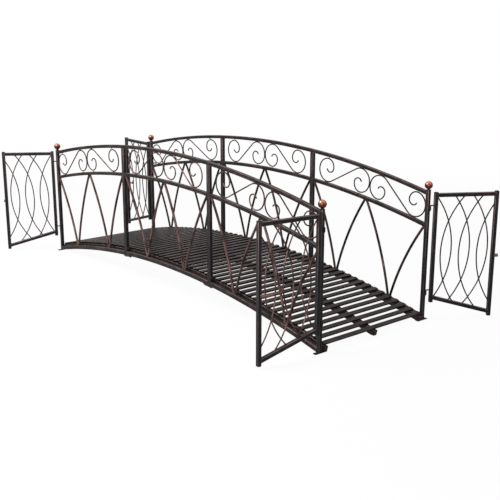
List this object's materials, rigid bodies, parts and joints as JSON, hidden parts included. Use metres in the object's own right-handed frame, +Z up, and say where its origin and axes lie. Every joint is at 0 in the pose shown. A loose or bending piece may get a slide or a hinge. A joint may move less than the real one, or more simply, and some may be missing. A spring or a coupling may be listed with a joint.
{
  "type": "arched garden bridge",
  "caption": "Arched metal garden bridge with scrolled railings, slatted deck, ball finials and a pair of swinging lattice gates at each end.",
  "frame": {"origin": "on the ground, in the middle of the four anchor holes", "axes": "+X along the bridge, +Y across it to the far railing, +Z up"},
  "size_m": [3.2277, 1.4587, 0.8485],
  "materials": {
    "frame_paint": "dark charcoal paint, brushed with bronze on the edges",
    "deck_paint": "dark grey paint with a soft sheen",
    "copper": "burnished copper colour",
    "latch_copper": "brushed copper paint"
  },
  "bodies": {
    "bridge": {"back_beam": "frame_paint", "back_bottom_rail": "frame_paint", "back_braces_left": "frame_paint", "back_braces_middle": "frame_paint", "back_braces_right": "frame_paint", "back_middle_rail": "frame_paint", "back_scrolls_left": "frame_paint", "back_scrolls_middle": "frame_paint", "back_scrolls_right": "frame_paint", "back_stiles": "frame_paint", "back_top_rail": "frame_paint", "centre_beam": "frame_paint", "end_posts": "frame_paint", "feet": "frame_paint", "finials": "copper", "front_beam": "frame_paint", "front_bottom_rail": "frame_paint", "front_braces_left": "frame_paint", "front_braces_middle": "frame_paint", "front_braces_right": "frame_paint", "front_middle_rail": "frame_paint", "front_scrolls_left": "frame_paint", "front_scrolls_middle": "frame_paint", "front_scrolls_right": "frame_paint", "front_stiles": "frame_paint", "front_top_rail": "frame_paint", "hinge_sleeves": "frame_paint", "slats_left": "deck_paint", "slats_middle": "deck_paint", "slats_right": "deck_paint", "spacers": "frame_paint", "splices": "frame_paint"},
    "front_left_gate": {"front_left_hinge_pins": "frame_paint", "front_left_keeper": "frame_paint", "front_left_leaf": "frame_paint"},
    "back_left_gate": {"back_left_bolt_sleeve": "frame_paint", "back_left_hinge_pins": "frame_paint", "back_left_leaf": "frame_paint"},
    "front_right_gate": {"front_right_bolt_sleeve": "frame_paint", "front_right_hinge_pins": "frame_paint", "front_right_leaf": "frame_paint"},
    "back_right_gate": {"back_right_hinge_pins": "frame_paint", "back_right_keeper": "frame_paint", "back_right_leaf": "frame_paint"},
    "back_left_bolt": {"back_left_slide_bolt": "latch_copper"},
    "front_right_bolt": {"front_right_slide_bolt": "latch_copper"}
  },
  "joints": [
    {"name": "front_left_gate_swing", "type": "hinge", "parent": "bridge", "child": "front_left_gate", "pos_m": [-1.316, -0.386, 0.4], "axis": [0, 0, 1], "range_deg": [-144.5, 42.5]},
    {"name": "back_left_gate_swing", "type": "hinge", "parent": "bridge", "child": "back_left_gate", "pos_m": [-1.316, 0.386, 0.4], "axis": [0, 0, -1], "range_deg": [-90.6, 96.4]},
    {"name": "front_right_gate_swing", "type": "hinge", "parent": "bridge", "child": "front_right_gate", "pos_m": [1.316, -0.386, 0.4], "axis": [0, 0, -1], "range_deg": [-185.7, 1.3]},
    {"name": "back_right_gate_swing", "type": "hinge", "parent": "bridge", "child": "back_right_gate", "pos_m": [1.316, 0.386, 0.4], "axis": [0, 0, 1], "range_deg": [-145.9, 41.1]},
    {"name": "back_left_bolt_slide", "type": "slide", "parent": "back_left_gate", "child": "back_left_bolt", "axis": [-0.999, 0.0454, 0], "range_m": [0, 0.04]},
    {"name": "front_right_bolt_slide", "type": "slide", "parent": "front_right_gate", "child": "front_right_bolt", "axis": [-0.134, -0.991, 0], "range_m": [0, 0.04]}
  ]
}
